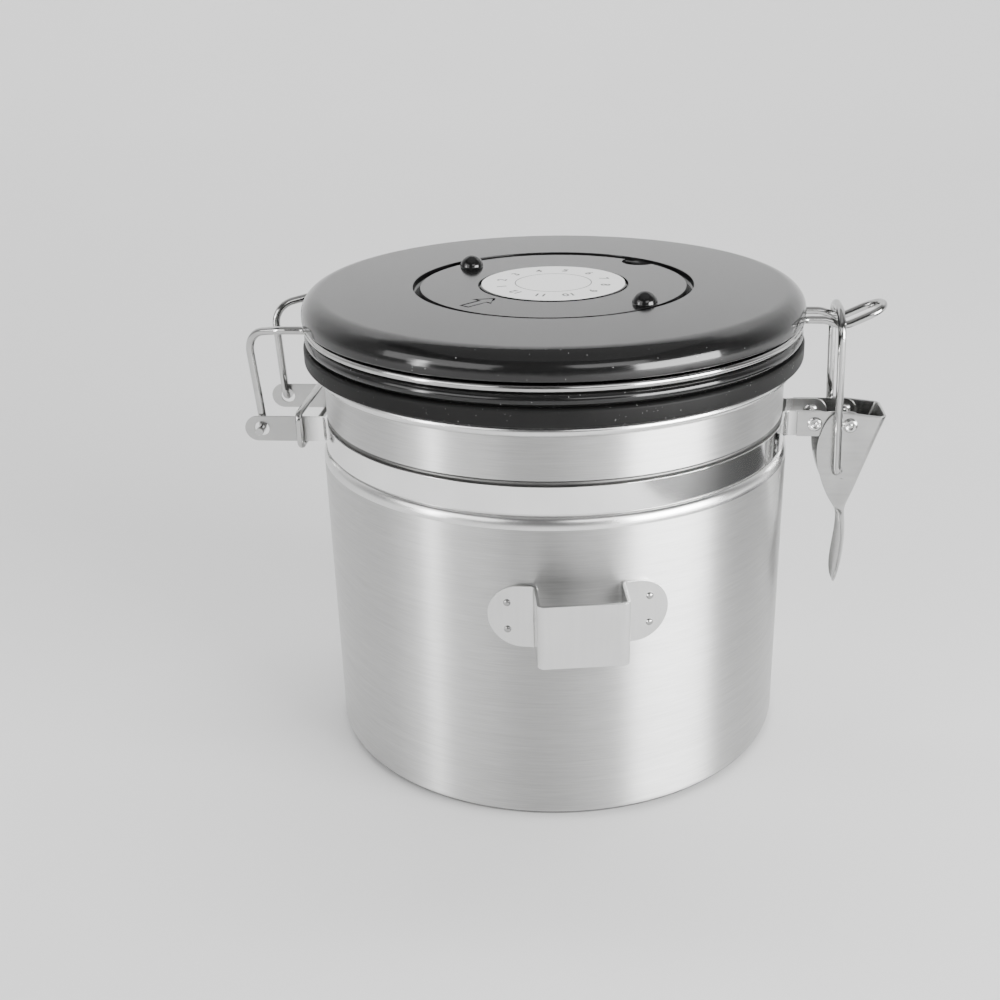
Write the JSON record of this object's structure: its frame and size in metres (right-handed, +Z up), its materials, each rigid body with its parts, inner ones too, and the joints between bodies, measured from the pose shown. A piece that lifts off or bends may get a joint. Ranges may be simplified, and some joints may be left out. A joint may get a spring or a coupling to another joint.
{
  "type": "coffee canister with valve",
  "caption": "Brushed steel storage can with a hinged, gasketed lid, an over-centre wire latch, a date dial over a one-way gas valve, and a scoop holder on its front.",
  "frame": {"origin": "centre of the can's base, on the table", "axes": "+Z up along the can's axis, +X towards the latch, -X towards the hinge, -Y the front with the scoop holder"},
  "size_m": [0.1624, 0.1348, 0.1219],
  "materials": {
    "can_steel": "brushed round the can",
    "strap_steel": "polished",
    "wire_steel": "bright drawn wire",
    "sheet_steel": "satin sheet",
    "rivet_steel": "bright",
    "black_plastic": "gloss",
    "black_silicone": "matte silicone",
    "label_white": "satin",
    "clear_silicone": "translucent white silicone",
    "inner_plastic": "satin",
    "filter_felt": "pressed felt"
  },
  "bodies": {
    "can": {"can_body": "can_steel", "strap_front": "strap_steel", "strap_rear": "strap_steel", "hinge_clip": "wire_steel", "latch_plate_front": "sheet_steel", "latch_plate_rear": "sheet_steel", "strap_rivets": "rivet_steel", "pivot_rivets": "rivet_steel", "scoop_holder": "sheet_steel"},
    "lid": {"lid_cover": "black_plastic", "lid_base": "black_plastic", "lid_gasket": "black_silicone", "bail_wire": "wire_steel", "dial_disc": "black_plastic", "dial_label": "label_white", "lid_screws": "rivet_steel", "valve_cage": "inner_plastic", "valve_filter": "filter_felt", "valve_cap": "inner_plastic"},
    "dial": {"dial_ring": "black_plastic"},
    "lever": {"latch_lever": "sheet_steel"},
    "link": {"latch_link": "wire_steel"},
    "valve": {"valve_disc": "clear_silicone"}
  },
  "joints": [
    {"name": "lid_hinge", "type": "hinge", "parent": "can", "child": "lid", "pos_m": [-0.0744, 0, 0.0843], "axis": [0, -1, 0], "range_deg": [0, 190]},
    {"name": "dial_turn", "type": "hinge", "parent": "lid", "child": "dial", "pos_m": [0, 0, 0.1174], "axis": [0, 0, 1], "continuous": true},
    {"name": "lever_turn", "type": "hinge", "parent": "can", "child": "lever", "pos_m": [0.0758, 0, 0.0843], "axis": [0, -1, 0], "range_deg": [0, 130]},
    {"name": "link_turn", "type": "hinge", "parent": "lever", "child": "link", "pos_m": [0.073, 0, 0.0719], "axis": [0, -1, 0], "range_deg": [-97, 0]},
    {"name": "valve_lift", "type": "slide", "parent": "lid", "child": "valve", "axis": [0, 0, 1], "range_m": [0, 0.0008]}
  ],
  "couplings": [
    {"joint": "link_turn", "follows": "lever_turn", "ratio": -0.74}
  ]
}
